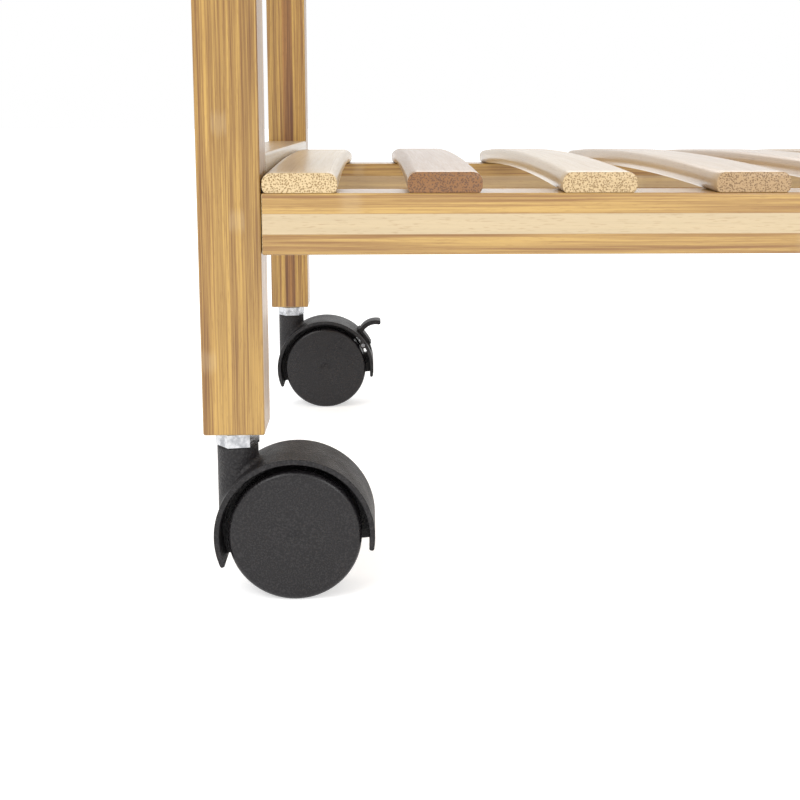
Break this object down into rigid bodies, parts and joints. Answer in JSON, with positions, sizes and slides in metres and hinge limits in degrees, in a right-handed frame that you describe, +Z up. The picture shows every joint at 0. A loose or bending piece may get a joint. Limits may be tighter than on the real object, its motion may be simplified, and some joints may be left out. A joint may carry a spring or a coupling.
{
  "type": "rolling utility cart",
  "caption": "Bamboo rolling cart with square posts, slatted open shelves and black twin-wheel swivel casters, with brake levers at the rear.",
  "frame": {"origin": "on the floor, in the middle of the cart", "axes": "+X along the width to the right seen from the front, +Y from front to rear, +Z up"},
  "size_m": [0.482, 0.3344, 0.76],
  "materials": {
    "post_bamboo": "satin lacquer over laminated bamboo, fine grain along the post",
    "rail_bamboo": "satin lacquer over three bamboo layers, the middle one paler",
    "side_rail_bamboo": "satin lacquer over pale laminated bamboo",
    "slat_bamboo": "satin lacquer over bamboo, dotted fibre ends",
    "dowel_wood": "plain beech",
    "zinc_steel": "bright zinc plate",
    "plain_steel": "bright drawn steel",
    "hood_plastic": "black nylon, fine moulded texture",
    "wheel_plastic": "black nylon, fine moulded texture"
  },
  "bodies": {
    "frame": {"front_left_post": "post_bamboo", "front_right_post": "post_bamboo", "rear_left_post": "post_bamboo", "rear_right_post": "post_bamboo", "bottom_front_rail": "rail_bamboo", "bottom_rear_rail": "rail_bamboo", "bottom_left_rail": "side_rail_bamboo", "bottom_right_rail": "side_rail_bamboo", "bottom_slat_1": "slat_bamboo", "bottom_slat_2": "slat_bamboo", "bottom_slat_3": "slat_bamboo", "bottom_slat_4": "slat_bamboo", "bottom_slat_5": "slat_bamboo", "bottom_slat_6": "slat_bamboo", "bottom_slat_7": "slat_bamboo", "bottom_slat_8": "slat_bamboo", "middle_front_rail": "rail_bamboo", "middle_rear_rail": "rail_bamboo", "middle_left_rail": "side_rail_bamboo", "middle_right_rail": "side_rail_bamboo", "middle_slats": "slat_bamboo", "top_front_rail": "rail_bamboo", "top_rear_rail": "rail_bamboo", "top_left_rail": "side_rail_bamboo", "top_right_rail": "side_rail_bamboo", "top_slats": "slat_bamboo", "rail_bolts": "plain_steel", "rail_inserts": "zinc_steel", "rail_dowels": "dowel_wood", "side_rail_dowels": "dowel_wood", "slat_pins": "dowel_wood", "front_left_caster_stem": "zinc_steel", "front_right_caster_stem": "zinc_steel", "rear_left_caster_stem": "zinc_steel", "rear_right_caster_stem": "zinc_steel", "caster_inserts": "zinc_steel", "stem_grip_rings": "plain_steel"},
    "front_left_swivel": {"front_left_caster_hood": "hood_plastic", "front_left_caster_axle": "plain_steel"},
    "front_left_front_wheel": {"front_left_front_wheel": "wheel_plastic"},
    "front_left_rear_wheel": {"front_left_rear_wheel": "wheel_plastic"},
    "front_right_swivel": {"front_right_caster_hood": "hood_plastic", "front_right_caster_axle": "plain_steel"},
    "front_right_front_wheel": {"front_right_front_wheel": "wheel_plastic"},
    "front_right_rear_wheel": {"front_right_rear_wheel": "wheel_plastic"},
    "rear_left_swivel": {"rear_left_caster_hood": "hood_plastic", "rear_left_caster_axle": "plain_steel", "rear_left_brake_pin": "plain_steel"},
    "rear_left_front_wheel": {"rear_left_front_wheel": "wheel_plastic"},
    "rear_left_rear_wheel": {"rear_left_rear_wheel": "wheel_plastic"},
    "rear_left_brake_lever": {"rear_left_brake_lever": "hood_plastic"},
    "rear_right_swivel": {"rear_right_caster_hood": "hood_plastic", "rear_right_caster_axle": "plain_steel", "rear_right_brake_pin": "plain_steel"},
    "rear_right_front_wheel": {"rear_right_front_wheel": "wheel_plastic"},
    "rear_right_rear_wheel": {"rear_right_rear_wheel": "wheel_plastic"},
    "rear_right_brake_lever": {"rear_right_brake_lever": "hood_plastic"}
  },
  "joints": [
    {"name": "front_left_swivel_turn", "type": "hinge", "parent": "frame", "child": "front_left_swivel", "pos_m": [-0.229, -0.153, 0.061], "axis": [0, 0, 1], "continuous": true},
    {"name": "front_left_front_wheel_spin", "type": "hinge", "parent": "front_left_swivel", "child": "front_left_front_wheel", "pos_m": [-0.2059, -0.1615, 0.0265], "axis": [0, 1, 0], "continuous": true},
    {"name": "front_left_rear_wheel_spin", "type": "hinge", "parent": "front_left_swivel", "child": "front_left_rear_wheel", "pos_m": [-0.2059, -0.1445, 0.0265], "axis": [0, 1, 0], "continuous": true},
    {"name": "front_right_swivel_turn", "type": "hinge", "parent": "frame", "child": "front_right_swivel", "pos_m": [0.229, -0.153, 0.061], "axis": [0, 0, 1], "continuous": true},
    {"name": "front_right_front_wheel_spin", "type": "hinge", "parent": "front_right_swivel", "child": "front_right_front_wheel", "pos_m": [0.2059, -0.1615, 0.0265], "axis": [0, 1, 0], "continuous": true},
    {"name": "front_right_rear_wheel_spin", "type": "hinge", "parent": "front_right_swivel", "child": "front_right_rear_wheel", "pos_m": [0.2059, -0.1445, 0.0265], "axis": [0, 1, 0], "continuous": true},
    {"name": "rear_left_swivel_turn", "type": "hinge", "parent": "frame", "child": "rear_left_swivel", "pos_m": [-0.229, 0.153, 0.061], "axis": [0, 0, 1], "continuous": true},
    {"name": "rear_left_front_wheel_spin", "type": "hinge", "parent": "rear_left_swivel", "child": "rear_left_front_wheel", "pos_m": [-0.2059, 0.1445, 0.0265], "axis": [0, 1, 0], "continuous": true},
    {"name": "rear_left_rear_wheel_spin", "type": "hinge", "parent": "rear_left_swivel", "child": "rear_left_rear_wheel", "pos_m": [-0.2059, 0.1615, 0.0265], "axis": [0, 1, 0], "continuous": true},
    {"name": "rear_left_brake_press", "type": "hinge", "parent": "rear_left_swivel", "child": "rear_left_brake_lever", "pos_m": [-0.18097, 0.153, 0.04208], "axis": [0, 1, 0], "range_deg": [0, 25]},
    {"name": "rear_right_swivel_turn", "type": "hinge", "parent": "frame", "child": "rear_right_swivel", "pos_m": [0.229, 0.153, 0.061], "axis": [0, 0, 1], "continuous": true},
    {"name": "rear_right_front_wheel_spin", "type": "hinge", "parent": "rear_right_swivel", "child": "rear_right_front_wheel", "pos_m": [0.2059, 0.1445, 0.0265], "axis": [0, 1, 0], "continuous": true},
    {"name": "rear_right_rear_wheel_spin", "type": "hinge", "parent": "rear_right_swivel", "child": "rear_right_rear_wheel", "pos_m": [0.2059, 0.1615, 0.0265], "axis": [0, 1, 0], "continuous": true},
    {"name": "rear_right_brake_press", "type": "hinge", "parent": "rear_right_swivel", "child": "rear_right_brake_lever", "pos_m": [0.18097, 0.153, 0.04208], "axis": [0, -1, 0], "range_deg": [0, 25]}
  ]
}
